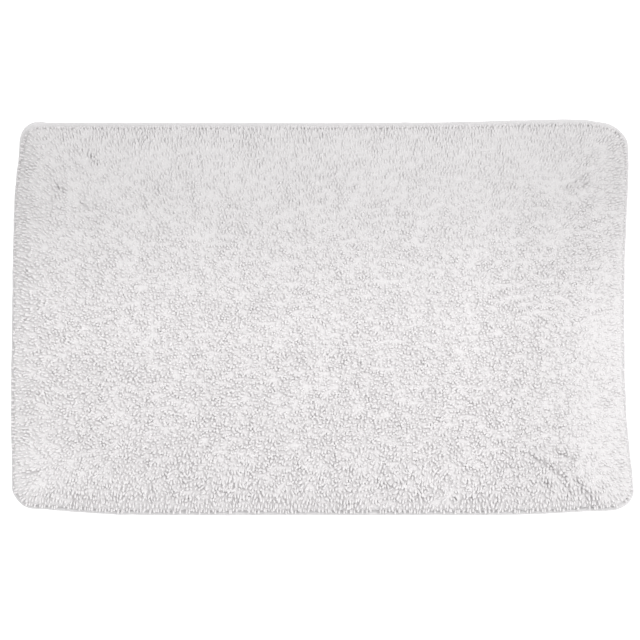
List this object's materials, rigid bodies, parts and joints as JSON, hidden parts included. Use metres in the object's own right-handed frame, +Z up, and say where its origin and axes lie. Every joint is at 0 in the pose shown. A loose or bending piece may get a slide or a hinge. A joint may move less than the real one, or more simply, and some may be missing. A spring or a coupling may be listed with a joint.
{
  "type": "bath mat",
  "caption": "Rectangular bath mat with a thick plush cut pile, rounded corners, a bound edge and a latex-coated underside.",
  "frame": {"origin": "centre of the mat on the surface it lies on", "axes": "+X along the length, +Y towards the back edge, +Z up through the pile"},
  "size_m": [0.762, 0.508, 0.0223],
  "materials": {
    "pile_yarn": "soft matt cut cotton pile, white",
    "base_weave": "plain woven cloth, natural white",
    "latex": "matt latex coat, off-white",
    "edge_tape": "twill woven cotton tape, white",
    "sewing_thread": "spun sewing thread, white",
    "label_ribbon": "blank satin ribbon, white"
  },
  "bodies": {
    "root": {"cut_pile": "pile_yarn", "tuft_back_stitches": "pile_yarn", "base_cloth": "base_weave", "latex_backing": "latex", "edge_binding": "edge_tape", "binding_needle_thread": "sewing_thread", "binding_bobbin_thread": "sewing_thread", "care_label": "label_ribbon", "care_label_thread": "sewing_thread"}
  },
  "joints": []
}
